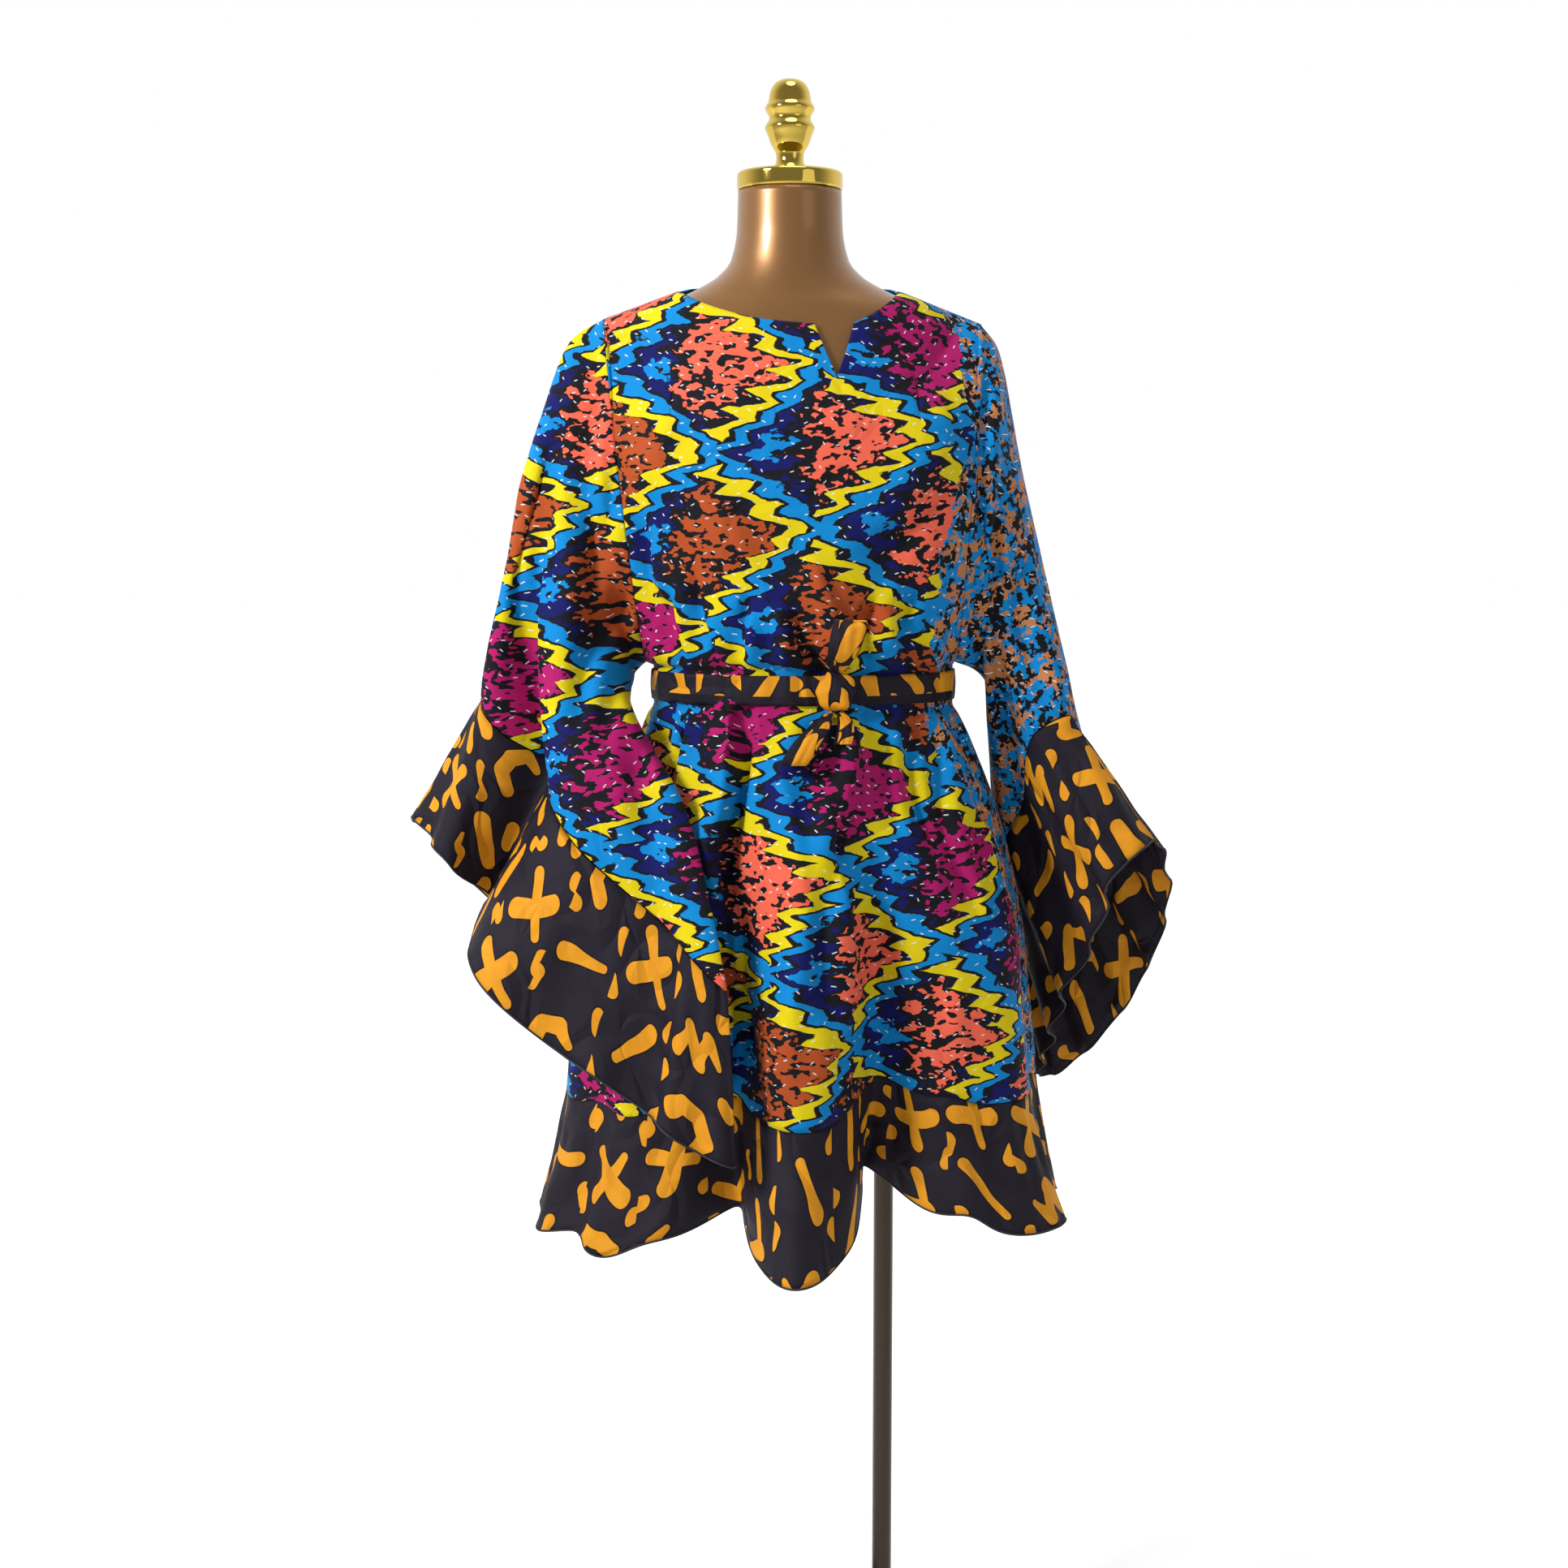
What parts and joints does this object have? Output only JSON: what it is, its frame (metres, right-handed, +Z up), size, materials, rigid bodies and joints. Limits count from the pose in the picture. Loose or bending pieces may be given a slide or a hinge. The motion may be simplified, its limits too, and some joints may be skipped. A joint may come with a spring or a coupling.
{
  "type": "boubou on a dress form",
  "caption": "Short wide-sleeved boubou in a wax print with dark ruffles and a tie belt, on a limbless dress form with its stand.",
  "frame": {"origin": "centre of the stand's base plate, on its underside", "axes": "+Z up the stand, -Y to the garment's front, -X to the wearer's right"},
  "size_m": [0.8006, 0.5165, 1.713],
  "materials": {
    "bronze_form": "pearlescent bronze lacquer",
    "polished_brass": "mirror polished",
    "dark_bronze": "satin dark bronze",
    "wax_print": "crisp cotton wax print in blue, yellow, black and coral",
    "ruffle_print": "dark aubergine cotton with amber strokes, faint sheen"
  },
  "bodies": {
    "root": {"form_torso": "bronze_form", "neck_cap": "polished_brass", "finial": "polished_brass", "pole_collar": "dark_bronze", "stand_pole": "dark_bronze", "base_boss": "dark_bronze", "stand_base": "dark_bronze", "body_front": "wax_print", "body_back": "wax_print", "sleeve_right": "wax_print", "sleeve_left": "wax_print", "cuff_ruffle_right": "ruffle_print", "cuff_ruffle_left": "ruffle_print", "hem_ruffle_front": "ruffle_print", "hem_ruffle_back": "ruffle_print", "belt": "ruffle_print", "bow_knot": "ruffle_print", "bow_loop": "ruffle_print", "bow_tail": "ruffle_print", "bow_short_tail": "ruffle_print"}
  },
  "joints": []
}
